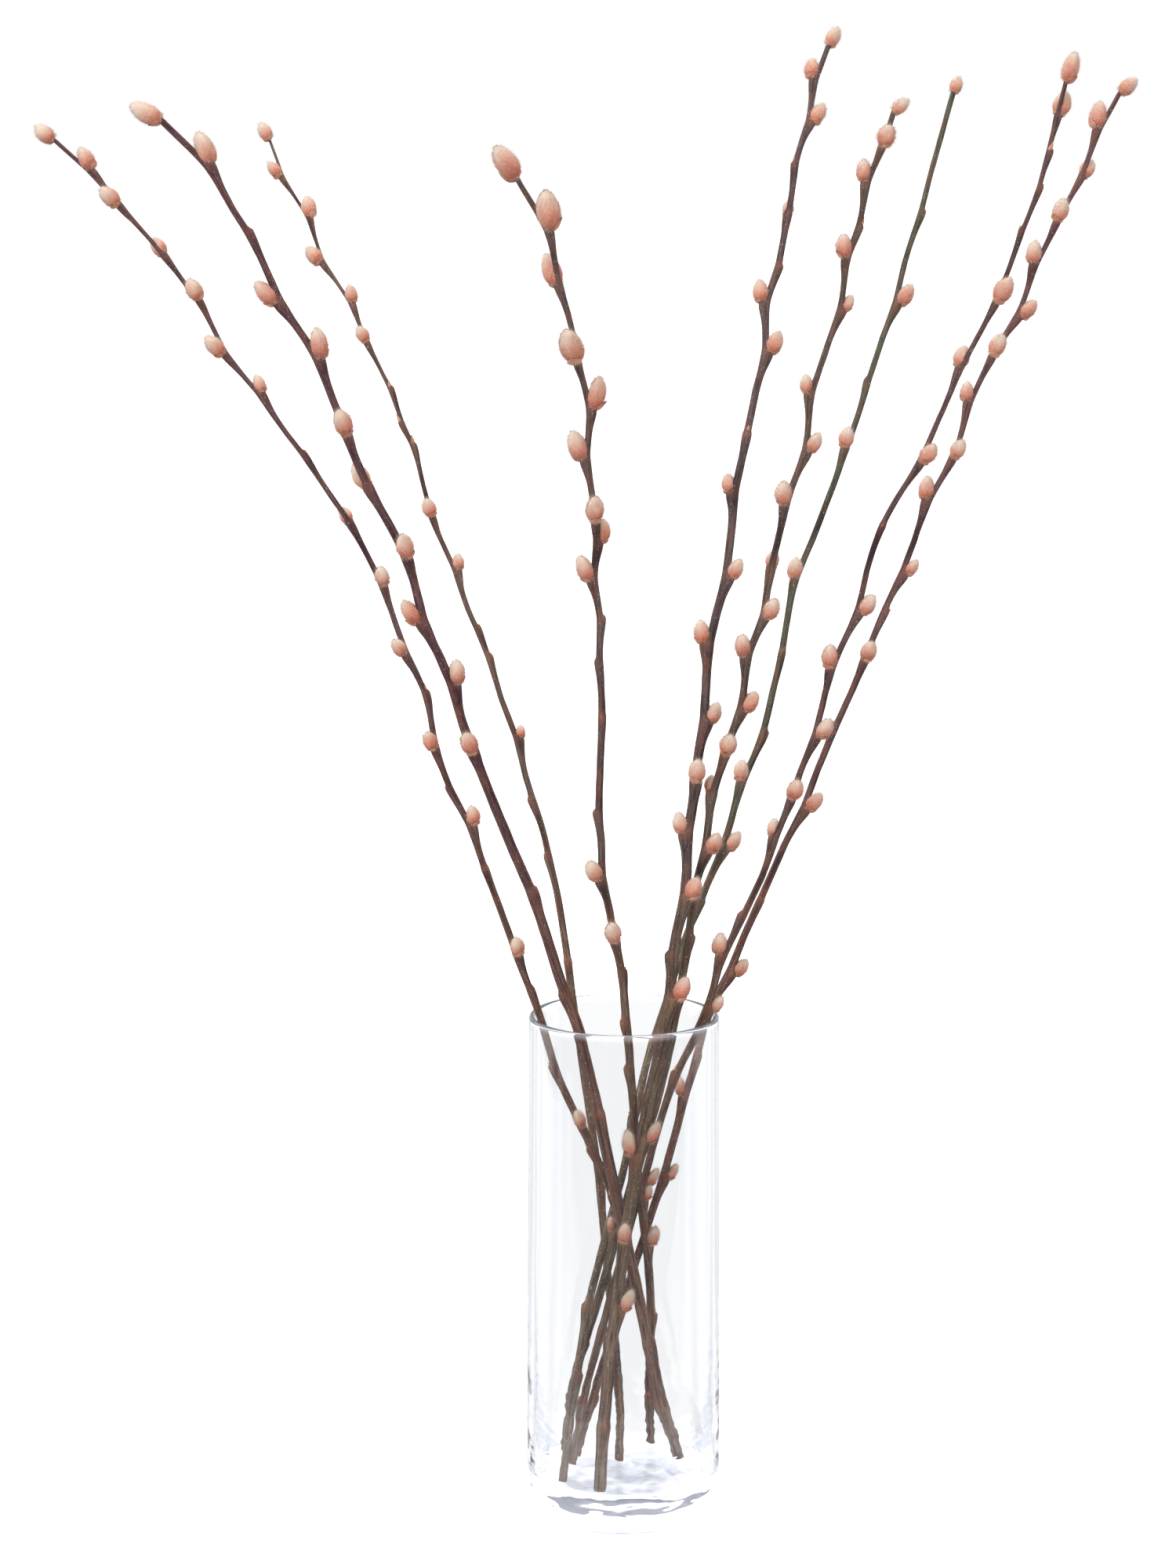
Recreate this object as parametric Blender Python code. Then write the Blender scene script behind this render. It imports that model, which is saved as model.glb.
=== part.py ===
"""Nine cut willow stems with furry catkins, standing loose in a clear glass cylinder vase.

Metres, +Z up. The origin is the middle of the vase's flat underside. +X is to the right and +Y is away from
the front. Each stem is one grown piece, with its wood, leaf scars, buds and catkins fused into one solid.
"""
import math
from typing import NamedTuple

import bmesh
import bpy
from mathutils import Matrix, Vector

MM = 0.001

# Vase
VASE_HEIGHT = 270 * MM
VASE_RADIUS_FOOT = 50.7 * MM
VASE_RADIUS_RIM = 49.3 * MM
VASE_WALL = 3.2 * MM
VASE_FLOOR = 25 * MM
VASE_FOOT_ROUND = 21 * MM
VASE_INNER_ROUND = 3 * MM
VASE_SEGMENTS = 48
VASE_FOOT_STEPS = 5
VASE_LIP_STEPS = 4
VASE_INNER_STEPS = 2
VASE_SHARP_ANGLE = math.radians(35)
GLASS_ROUGHNESS = 0.02
GLASS_COLOUR = (0.93, 0.96, 0.97)

# Stems
SEAT_GAP = 0.4 * MM
STEM_SIDES = 7
BARK_ROUGHNESS = 0.6
RIM_HEIGHT = VASE_HEIGHT
ROOT_DEPTH = 0.6

# Catkins and buds, as half outlines of (distance along, distance out), both as a share of the whole
CATKIN_SIDES = 6
CATKIN_OUTLINE = [(-0.22, 0.0), (0.02, 0.22), (0.3, 0.5), (0.66, 0.43), (0.92, 0.17), (1.0, 0.0)]
CATKIN_WIDTH = 0.76
CATKIN_WIDTH_IN_VASE = 0.58
CATKIN_LEAN = math.radians(33)
TIP_SINK = 0.12
BUD_SIDES = 4
BUD_OUTLINE = [(-0.25, 0.0), (0.35, 0.5), (1.0, 0.0)]
BUD_LENGTH = 5.5 * MM
BUD_WIDTH = 2.6 * MM
BUD_LEAN = math.radians(14)
SCAR_LENGTH = 3.4 * MM
SCAR_WIDTH = 2.8 * MM
SCAR_LEAN = math.radians(30)
SCAR_TURN = 137.5


class Stem(NamedTuple):
    """One stem: all lengths in millimetres, bearings in degrees (0 right, 90 away, 180 left, -90 front).

    route is a list of (x, y, height), from the cut end up, and the cut end's height is worked out.
    radii are those of the wood at the cut end, at the rim and at the tip. tip is the end catkin, as
    (bearing it leans to, degrees it leans, length). catkins are (height of the root, bearing, length),
    buds are (height, bearing), and scars are the heights of the bare leaf scars.
    """
    name: str
    bark: tuple
    radii: tuple
    route: list
    tip: tuple
    catkins: list
    buds: list
    scars: list


STEMS = [
    Stem(
        name="stem_1",
        bark=(0.17, 0.085, 0.07),
        radii=(2.1, 1.8, 1.2),
        route=[(29, 20), (21, 12, 60), (7, 2, 120), (-8, -4, 180), (-34, -7, 240), (-43, -9, 270),
               (-54, -12, 300), (-64, -14, 330), (-75, -16, 360), (-91, -20, 400), (-101, -23, 440),
               (-116, -26, 480), (-133, -30, 520), (-158, -33, 560), (-186, -36, 600),
               (-210, -39, 640), (-242, -42, 680), (-276, -45, 717)],
        tip=(200, 12, 12),
        catkins=[(703, 0, 12), (684, -100, 12.5), (661, 80, 11), (639, -50, 12.5), (613, -140, 13),
                 (592, 10, 10), (528, 90, 10), (497, -50, 11), (463, -130, 10.5), (414, -120, 11),
                 (372, -10, 11), (305, -60, 11), (211, -90, 11)],
        buds=[(441, 0), (174, -90)],
        scars=[562, 392, 350, 285, 245, 90],
    ),
    Stem(
        name="stem_2",
        bark=(0.15, 0.07, 0.065),
        radii=(3.1, 2.6, 1.7),
        route=[(30, 13), (20, 5, 60), (8, -8, 120), (-4, -21, 180), (-16, -31, 240), (-23, -36, 270),
               (-33, -42, 300), (-42, -48, 330), (-53, -54, 360), (-68, -63, 400), (-82, -71, 440),
               (-95, -79, 480), (-108, -86, 520), (-127, -94, 560), (-142, -101, 600),
               (-161, -109, 640), (-182, -116, 680), (-197, -120, 703), (-217, -125, 727)],
        tip=(180, 25, 17),
        catkins=[(708, 10, 16.5), (640, 180, 14), (617, -10, 16), (579, -80, 15), (552, 110, 14),
                 (518, -60, 14), (486, 180, 14.5), (453, 0, 13), (420, -90, 13.5)],
        buds=[(674, 20)],
        scars=[345, 290, 225, 95, 60],
    ),
    Stem(
        name="stem_3",
        bark=(0.2, 0.13, 0.07),
        radii=(2.0, 1.7, 1.0),
        route=[(-2, 10), (-2, 14, 60), (-8, 21, 120), (-14, 27, 180), (-23, 33, 240), (-27, 35, 270),
               (-31, 38, 300), (-36, 41, 330), (-43, 45, 360), (-56, 50, 400), (-69, 55, 440),
               (-85, 60, 480), (-100, 64, 520), (-112, 69, 560), (-129, 73, 600), (-148, 78, 640),
               (-169, 82, 680), (-184, 86, 715)],
        tip=(180, 10, 9.5),
        catkins=[(696, 190, 10), (676, 0, 10.5), (651, 180, 11), (631, -20, 9.5), (612, -90, 10),
                 (522, -90, 11), (493, 0, 9.5), (406, 0, 7.5)],
        buds=[(587, 0), (570, 180), (558, 0), (448, -20), (375, 180)],
        scars=[463, 345, 290, 170, 70],
    ),
    Stem(
        name="stem_4",
        bark=(0.16, 0.12, 0.09),
        radii=(2.2, 2.0, 1.2),
        route=[(15, 38), (14, 28, 60), (14, 11, 120), (8, -6, 180), (4, -28, 240), (2, -43, 270),
               (-1, -52, 300), (-6, -61, 330), (-10, -69, 360), (-12, -80, 400), (-11, -91, 440),
               (-12, -102, 480), (-14, -112, 520), (-16, -122, 560), (-19, -132, 600),
               (-27, -142, 640), (-39, -151, 680), (-50, -158, 701)],
        tip=(0, 20, 17),
        catkins=[(677, -20, 18), (651, 100, 16), (618, -90, 18), (594, 0, 16), (569, 180, 15),
                 (540, -80, 15), (527, 45, 12.5), (510, 190, 14), (356, 200, 12), (324, -90, 13),
                 (147, -20, 12)],
        buds=[(390, 180), (277, 180), (104, 0), (55, -90)],
        scars=[490, 468, 440, 304, 250],
    ),
    Stem(
        name="stem_5",
        bark=(0.17, 0.13, 0.09),
        radii=(3.1, 2.9, 1.3),
        route=[(-12, -38), (-10, -34, 60), (-4, -30, 120), (4, -28, 180), (14, -33, 240),
               (20, -38, 270), (24, -39, 300), (28, -40, 330), (32, -40, 360), (36, -36, 400),
               (40, -31, 440), (46, -26, 480), (53, -21, 520), (59, -15, 560), (67, -9, 600),
               (73, -2, 640), (82, 5, 680), (89, 12, 720), (101, 21, 763)],
        tip=(0, 12, 11.5),
        catkins=[(748, 180, 11), (725, 0, 12), (680, 100, 9), (637, 180, 12), (611, 0, 11.5),
                 (542, 150, 11), (501, -20, 11.5), (467, 180, 13), (429, 0, 11.5), (399, -90, 13),
                 (373, 190, 11.5), (341, -40, 13), (287, -45, 12), (209, -20, 13), (203, 190, 15),
                 (156, -80, 12), (122, -20, 13)],
        buds=[(704, 180), (654, 0), (571, -90), (310, 180), (268, 190)],
        scars=[254, 105, 60],
    ),
    Stem(
        name="stem_6",
        bark=(0.17, 0.12, 0.07),
        radii=(2.2, 2.1, 1.5),
        route=[(-32, 25), (-28, 18, 60), (-12, 4, 120), (3, -15, 180), (19, -26, 240), (25, -29, 270),
               (30, -31, 300), (34, -32, 330), (39, -34, 360), (47, -41, 400), (57, -50, 440),
               (66, -60, 480), (74, -70, 520), (84, -79, 560), (92, -87, 600), (102, -95, 640),
               (111, -103, 680), (124, -113, 733)],
        tip=(0, 38, 10),
        catkins=[(716, -90, 12), (699, 180, 10), (663, -150, 12), (597, 180, 10), (570, -10, 11),
                 (543, -140, 13), (509, 90, 10), (487, -40, 12), (465, 180, 12), (438, 0, 12),
                 (416, -90, 13), (392, 120, 10), (364, -30, 12)],
        buds=[(677, 0), (640, 10), (318, 0)],
        scars=[290, 230, 90, 55],
    ),
    Stem(
        name="stem_7",
        bark=(0.15, 0.16, 0.08),
        radii=(1.9, 1.6, 1.1),
        route=[(-31, -24), (-27, -16, 60), (-17, -3, 120), (-1, 13, 180), (13, 30, 240), (23, 38, 270),
               (32, 43, 300), (44, 48, 330), (55, 53, 360), (70, 62, 400), (81, 70, 440),
               (89, 78, 480), (104, 85, 520), (119, 92, 560), (132, 99, 600), (144, 106, 640),
               (156, 113, 680), (171, 124, 739)],
        tip=(0, 8, 9),
        catkins=[(629, 0, 12), (555, -120, 12), (487, -130, 12), (382, -140, 12), (349, 10, 12)],
        buds=[(408, 0)],
        scars=[678, 590, 449, 320, 210, 80],
    ),
    Stem(
        name="stem_8",
        bark=(0.17, 0.09, 0.07),
        radii=(2.0, 1.8, 1.3),
        route=[(-27, 4), (-21, 4, 60), (-6, 4, 120), (10, 3, 180), (27, -9, 240), (39, -20, 270),
               (49, -25, 300), (62, -29, 330), (74, -33, 360), (87, -39, 400), (99, -44, 440),
               (115, -50, 490), (127, -54, 530), (143, -58, 560), (161, -62, 600), (179, -67, 640),
               (194, -71, 680), (204, -76, 720), (209, -79, 744)],
        tip=(0, 6, 15.5),
        catkins=[(729, 100, 13), (640, -75, 14), (607, 120, 12), (563, -60, 12), (487, 0, 12),
                 (458, -150, 13), (424, -20, 12), (392, -90, 12), (369, 130, 10), (307, 180, 12),
                 (276, 0, 9.5), (180, 0, 11)],
        buds=[(712, 0), (328, 180), (241, 180)],
        scars=[695, 674, 530, 100, 60],
    ),
    Stem(
        name="stem_9",
        bark=(0.16, 0.07, 0.07),
        radii=(2.0, 1.9, 1.3),
        route=[(-25, 17), (-16, 14, 60), (2, 10, 120), (20, 6, 180), (36, 2, 240), (44, 0, 270),
               (57, 1, 300), (70, 2, 330), (83, 3, 360), (100, 4, 400), (117, 6, 440), (132, 7, 480),
               (149, 9, 520), (167, 11, 560), (182, 12, 600), (202, 14, 640), (220, 15, 680),
               (246, 18, 740)],
        tip=(0, 30, 11.5),
        catkins=[(721, 180, 13), (699, 60, 11), (675, -90, 13), (655, 180, 11), (627, 0, 11.5),
                 (609, -100, 13), (585, 180, 11), (558, -80, 11.5), (535, 180, 13), (500, 0, 10),
                 (455, -90, 12), (379, -20, 12), (291, 10, 11), (227, 190, 10), (182, 10, 10)],
        buds=[],
        scars=[480, 420, 330, 248, 110, 60],
    ),
]


def clear_scene():
    for obj in list(bpy.data.objects):
        bpy.data.objects.remove(obj, do_unlink=True)


def make_material(name, colour, roughness, transmission=0.0):
    material = bpy.data.materials.new(name)
    material.use_nodes = True
    shader = material.node_tree.nodes["Principled BSDF"]
    shader.inputs["Base Color"].default_value = (*colour, 1.0)
    shader.inputs["Roughness"].default_value = roughness
    shader.inputs["Metallic"].default_value = 0.0
    shader.inputs["Transmission Weight"].default_value = transmission
    return material


def add_object(name, mesh, material=None):
    obj = bpy.data.objects.new(name, mesh)
    bpy.context.scene.collection.objects.link(obj)
    if material:
        mesh.materials.append(material)
    return obj


def arc(centre, radius, start, end, steps):
    """Points of (r, z) along an arc, with angles in degrees from the outward direction."""
    points = []
    for i in range(steps + 1):
        angle = math.radians(start + (end - start) * i / steps)
        points.append((centre[0] + radius * math.cos(angle), centre[1] + radius * math.sin(angle)))
    return points


def vase_outline():
    """Half section of the vase as (r, z), from the middle of its underside, up outside and down inside."""
    lip = VASE_WALL / 2
    outline = [(0.0, 0.0)]
    outline += arc((VASE_RADIUS_FOOT - VASE_FOOT_ROUND, VASE_FOOT_ROUND), VASE_FOOT_ROUND, -90, 0,
                   VASE_FOOT_STEPS)
    outline += arc((VASE_RADIUS_RIM - lip, VASE_HEIGHT - lip), lip, 0, 180, VASE_LIP_STEPS)
    inner_foot = VASE_RADIUS_FOOT - VASE_WALL
    outline += arc((inner_foot - VASE_INNER_ROUND, VASE_FLOOR + VASE_INNER_ROUND), VASE_INNER_ROUND, 0, -90,
                   VASE_INNER_STEPS)
    outline.append((0.0, VASE_FLOOR))
    return outline


def lathe(name, outline, sides):
    """Turn a half outline of (out, along) about Z. Its first and last points lie on the axis."""
    mesh = bpy.data.meshes.new(name)
    bm = bmesh.new()
    rings = []
    for radius, height in outline[1:-1]:
        ring = []
        for i in range(sides):
            angle = math.tau * i / sides
            ring.append(bm.verts.new((radius * math.cos(angle), radius * math.sin(angle), height)))
        rings.append(ring)
    first = bm.verts.new((0, 0, outline[0][1]))
    last = bm.verts.new((0, 0, outline[-1][1]))
    for i in range(sides):
        j = (i + 1) % sides
        bm.faces.new((first, rings[0][j], rings[0][i]))
        bm.faces.new((last, rings[-1][i], rings[-1][j]))
        for low, high in zip(rings, rings[1:]):
            bm.faces.new((low[i], low[j], high[j], high[i]))
    bm.to_mesh(mesh)
    bm.free()
    return mesh


def make_vase():
    mesh = lathe("vase", vase_outline(), VASE_SEGMENTS)
    mesh.shade_smooth()
    mesh.set_sharp_from_angle(angle=VASE_SHARP_ANGLE)
    return add_object("vase", mesh, make_material("glass", GLASS_COLOUR, GLASS_ROUGHNESS, transmission=1.0))


def stem_route(stem):
    """The stem's route in metres, with its cut end just above the vase's inner floor."""
    points = [Vector(point) * MM for point in stem.route[1:]]
    foot = Vector((*stem.route[0], 0)) * MM
    foot.z = VASE_FLOOR + SEAT_GAP
    lean = (points[0] - foot).angle(Vector((0, 0, 1)))
    foot.z += stem.radii[0] * MM * math.sin(lean)
    return [foot, *points]


def wood_radius(stem, height):
    """Radius of the wood in metres at a height in metres."""
    foot, rim, tip = (radius * MM for radius in stem.radii)
    top = stem.route[-1][2] * MM
    if height < RIM_HEIGHT:
        return foot + (rim - foot) * max(0.0, height - VASE_FLOOR) / (RIM_HEIGHT - VASE_FLOOR)
    return rim + (tip - rim) * min(1.0, (height - RIM_HEIGHT) / (top - RIM_HEIGHT))


def place_on(route, height):
    """Point on the route at a height in metres, and the way the stem grows there."""
    for low, high in zip(route, route[1:]):
        if high.z >= height:
            break
    share = min(1.0, (height - low.z) / (high.z - low.z))
    return low.lerp(high, share), (high - low).normalized()


def sideways(growth, bearing):
    """Level direction at a bearing in degrees, squared up to the way the stem grows."""
    angle = math.radians(bearing)
    level = Vector((math.cos(angle), math.sin(angle), 0))
    return (level - growth * level.dot(growth)).normalized()


def wood_mesh(stem, route):
    """A tapered tube with flat ends along the route."""
    mesh = bpy.data.meshes.new(stem.name)
    bm = bmesh.new()
    side = Vector((1, 0, 0))
    rings = []
    for index, centre in enumerate(route):
        growth = (route[min(index + 1, len(route) - 1)] - route[max(index - 1, 0)]).normalized()
        side = (side - growth * side.dot(growth)).normalized()
        across = growth.cross(side)
        radius = wood_radius(stem, centre.z)
        ring = []
        for i in range(STEM_SIDES):
            angle = math.tau * i / STEM_SIDES
            ring.append(bm.verts.new(centre + (side * math.cos(angle) + across * math.sin(angle)) * radius))
        rings.append(ring)
    for low, high in zip(rings, rings[1:]):
        for i in range(STEM_SIDES):
            j = (i + 1) % STEM_SIDES
            bm.faces.new((low[i], low[j], high[j], high[i]))
    bm.faces.new(list(reversed(rings[0])))
    bm.faces.new(rings[-1])
    bm.to_mesh(mesh)
    bm.free()
    return mesh


def stand_on(mesh, root, axis, length, width):
    """Matrix that stands a unit shape on its root along an axis."""
    turn = axis.to_track_quat("Z", "Y").to_matrix().to_4x4()
    obj = bpy.data.objects.new("shoot", mesh)
    obj.matrix_world = Matrix.Translation(root) @ turn @ Matrix.Diagonal((width, width, length, 1.0))
    return obj


def add_shoot(shoots, mesh, stem, route, height, bearing, lean, length, width):
    """Add a catkin, bud or scar that grows from the wood at a height in millimetres."""
    root, growth = place_on(route, height * MM)
    out = sideways(growth, bearing)
    root = root + out * wood_radius(stem, root.z) * ROOT_DEPTH
    axis = growth * math.cos(lean) + out * math.sin(lean)
    shoots.objects.link(stand_on(mesh, root, axis, length, width))


def make_stem(stem, catkin, bud):
    route = stem_route(stem)
    bark = make_material(stem.name + "_bark", stem.bark, BARK_ROUGHNESS)
    wood = add_object(stem.name, wood_mesh(stem, route), bark)
    shoots = bpy.data.collections.new(stem.name + "_shoots")
    bpy.context.scene.collection.children.link(shoots)

    bearing, lean, length = stem.tip
    growth = (route[-1] - route[-2]).normalized()
    lean = math.radians(lean)
    axis = growth * math.cos(lean) + sideways(growth, bearing) * math.sin(lean)
    root = route[-1] - growth * length * MM * TIP_SINK
    shoots.objects.link(stand_on(catkin, root, axis, length * MM, length * CATKIN_WIDTH * MM))

    for height, bearing, length in stem.catkins:
        share = CATKIN_WIDTH if height * MM > RIM_HEIGHT else CATKIN_WIDTH_IN_VASE
        add_shoot(shoots, catkin, stem, route, height, bearing, CATKIN_LEAN, length * MM, length * share * MM)
    for height, bearing in stem.buds:
        add_shoot(shoots, bud, stem, route, height, bearing, BUD_LEAN, BUD_LENGTH, BUD_WIDTH)
    for index, height in enumerate(stem.scars):
        add_shoot(shoots, bud, stem, route, height, index * SCAR_TURN, SCAR_LEAN, SCAR_LENGTH, SCAR_WIDTH)
    fuse(wood, shoots)


def fuse(wood, shoots):
    """Join a collection's shoots to the wood as one body, and remove the collection's objects."""
    union = wood.modifiers.new("fuse", "BOOLEAN")
    union.operation = "UNION"
    union.operand_type = "COLLECTION"
    union.collection = shoots
    union.solver = "EXACT"
    bpy.context.view_layer.update()
    graph = bpy.context.evaluated_depsgraph_get()
    fused = bpy.data.meshes.new_from_object(wood.evaluated_get(graph))
    wood.modifiers.clear()
    wood.data = fused
    for shoot in list(shoots.objects):
        bpy.data.objects.remove(shoot, do_unlink=True)
    bpy.data.collections.remove(shoots)


def main():
    clear_scene()
    make_vase()
    catkin = lathe("catkin", [(out, along) for along, out in CATKIN_OUTLINE], CATKIN_SIDES)
    bud = lathe("bud", [(out, along) for along, out in BUD_OUTLINE], BUD_SIDES)
    for stem in STEMS:
        make_stem(stem, catkin, bud)


main()
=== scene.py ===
"""Looks for nine cut willow stems with furry catkins, standing loose in a clear glass cylinder vase.

Metres, +Z up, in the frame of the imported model. Stem data are in millimetres and degrees. Bearings are
0 to the right, 90 away from the front, 180 left and -90 to the front.
"""
import math
from typing import NamedTuple

import bpy
import numpy as np
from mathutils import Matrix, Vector


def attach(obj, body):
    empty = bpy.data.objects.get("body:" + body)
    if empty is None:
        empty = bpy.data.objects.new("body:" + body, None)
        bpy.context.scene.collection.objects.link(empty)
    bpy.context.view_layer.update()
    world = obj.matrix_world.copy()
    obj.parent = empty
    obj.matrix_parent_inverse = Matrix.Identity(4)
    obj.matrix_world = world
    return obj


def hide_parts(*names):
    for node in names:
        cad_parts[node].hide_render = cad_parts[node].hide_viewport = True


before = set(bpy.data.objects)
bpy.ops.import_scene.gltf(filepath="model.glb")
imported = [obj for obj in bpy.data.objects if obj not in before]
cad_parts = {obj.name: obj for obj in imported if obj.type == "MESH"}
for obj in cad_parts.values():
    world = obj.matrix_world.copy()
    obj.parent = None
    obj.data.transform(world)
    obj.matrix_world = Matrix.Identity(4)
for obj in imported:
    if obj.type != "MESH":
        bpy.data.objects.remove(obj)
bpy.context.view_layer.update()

MM = 0.001
FIRST_SEED = 100

# Vase, as in the solid model
VASE_HEIGHT = 270 * MM
VASE_RADIUS_FOOT = 50.7 * MM
VASE_RADIUS_RIM = 49.3 * MM
VASE_WALL = 3.2 * MM
VASE_FLOOR = 25 * MM
VASE_FOOT_ROUND = 21 * MM
VASE_INNER_ROUND = 3 * MM
VASE_MIDDLE = 4 * MM
VASE_SEGMENTS = 160
SIDE_STEPS = 30
GLASS_WAVE = 0.12 * MM

# Wood
SEAT_GAP = 0.4 * MM
RIM_HEIGHT = VASE_HEIGHT
WOOD_SIDES = 18
WOOD_STEP = 1.2 * MM
SHOULDER_RISE = 8 * MM
SHOULDER_SWELL = 1.2 * MM
SHOULDER_DROP = 1.3 * MM
NODE_BEND = 0.8 * MM
NODE_BEND_REACH = 20 * MM
BARK_RIDGE = 0.025
CUT_DEPTH = 0.07 * MM
CUT_SHARE = 0.94
PITH_SHARE = 0.62
TIP_SHARE = 0.8
TIP_POINT = 0.4 * MM

# How much the wood swells under a catkin, above the vase and in it, and under a bud and a scar
CATKIN_SWELL = 1.6
CATKIN_SWELL_IN_VASE = 1.1
BUD_SWELL = 0.8
SCAR_SWELL = 0.75

# Catkins, buds and leaf scars. Outlines are (distance along, distance out) as a share of the whole
ROOT_DEPTH = 0.6
CATKIN_OUTLINE = [(0.0, 0.0), (0.03, 0.19), (0.12, 0.35), (0.27, 0.47), (0.42, 0.5), (0.6, 0.475),
                  (0.78, 0.37), (0.92, 0.22), (1.0, 0.0)]
CATKIN_SIDES = 26
CATKIN_LENGTHS = (8 * MM, 12 * MM, 17 * MM, 20 * MM)
CATKIN_WIDTHS = (6.3 * MM, 9.3 * MM, 10.2 * MM, 13 * MM)
SHUT_CATKIN_WIDTH = 0.84
CATKIN_LEAN = math.radians(18)
CATKIN_BEND = 0.03
CATKIN_SINK = 0.7 * MM
FUR_DEPTH = 0.9 * MM
CATKIN_STAND = 2.2 * MM
CATKIN_STAND_IN_VASE = 1.2 * MM
HAIRS_PER_MM2 = 6.8
HAIR_LENGTH = 1.35 * MM
HAIR_WIDTH = 0.13 * MM
LOOSE_SHARE = 0.5
LOOSE_LENGTH = 2.1 * MM
LOOSE_WIDTH = 0.1 * MM
FLUFF_HAIRS = 170
FLUFF_ALONG = 1.2
LOOSE_ALONG = 1.3
BUD_OUTLINE = [(-0.25, 0.0), (-0.1, 0.3), (0.15, 0.47), (0.4, 0.48), (0.75, 0.27), (1.0, 0.0)]
BUD_LENGTH = 5.5 * MM
BUD_WIDTH = 2.6 * MM
BUD_LEAN = math.radians(14)
SCAR_LENGTH = 3.4 * MM
SCAR_WIDTH = 2.8 * MM
SCAR_LEAN = math.radians(30)
SCAR_TURN = 137.5
SCALE_SIDES = 12
BUD_HAIRS = 45
SCAR_HAIRS = 26
LINT_IN_VASE = 160
LINT_ABOVE_VASE = 120

# The way that a catkin's side in painted shade faces: to the right and down, away from the key lamp. The fur
# material shifts that side towards salmon.
PAINTED_SHADE_SIDE = np.array([0.75, 0.0, -0.66])

# Colours of the ground, of the cards that draw the edges of the glass, and of the glass's own weak glow
WHITE = (1.05, 1.05, 1.05)
CARD = (0.27, 0.3, 0.4)
PALE_CARD = (0.76, 0.79, 0.88)
PIPED = (0.26, 0.27, 0.31)

# Camera, in metres, degrees and millimetres of film
CAMERA_PLACE = (0, -2.0, 0.738)
CAMERA_PITCH = 9.85
CAMERA_YAW = 0.5325
SENSOR_WIDTH = 36
CAMERA_LENS = 91.03

# Heights between which looks change: the bark's tone, its paling in the foot, and the glow of foot and rim
BARK_TURN = (240 * MM, 420 * MM)
BARK_PALING = (30 * MM, 160 * MM)
FOOT_GLOW = (12 * MM, 30 * MM)
RIM_GLOW = (266 * MM, 268.5 * MM)


class Stem(NamedTuple):
    """One stem, in millimetres and degrees: the solid model's rows with small corrections.

    The corrections, and a few more catkins and buds, were picked with the photograph beside the render.
    route is a list of (x, y, height), from the cut end up, and the cut end's height is worked out.
    radii are those of the wood at the cut end, at the rim and at the tip. tip is the end catkin, as
    (bearing it leans to, degrees it leans, length). catkins are (height of the root, bearing, length),
    buds are (height, bearing), and scars are the heights of the bare leaf scars.
    """
    name: str
    radii: tuple
    route: list
    tip: tuple
    catkins: list
    buds: list
    scars: list


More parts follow.
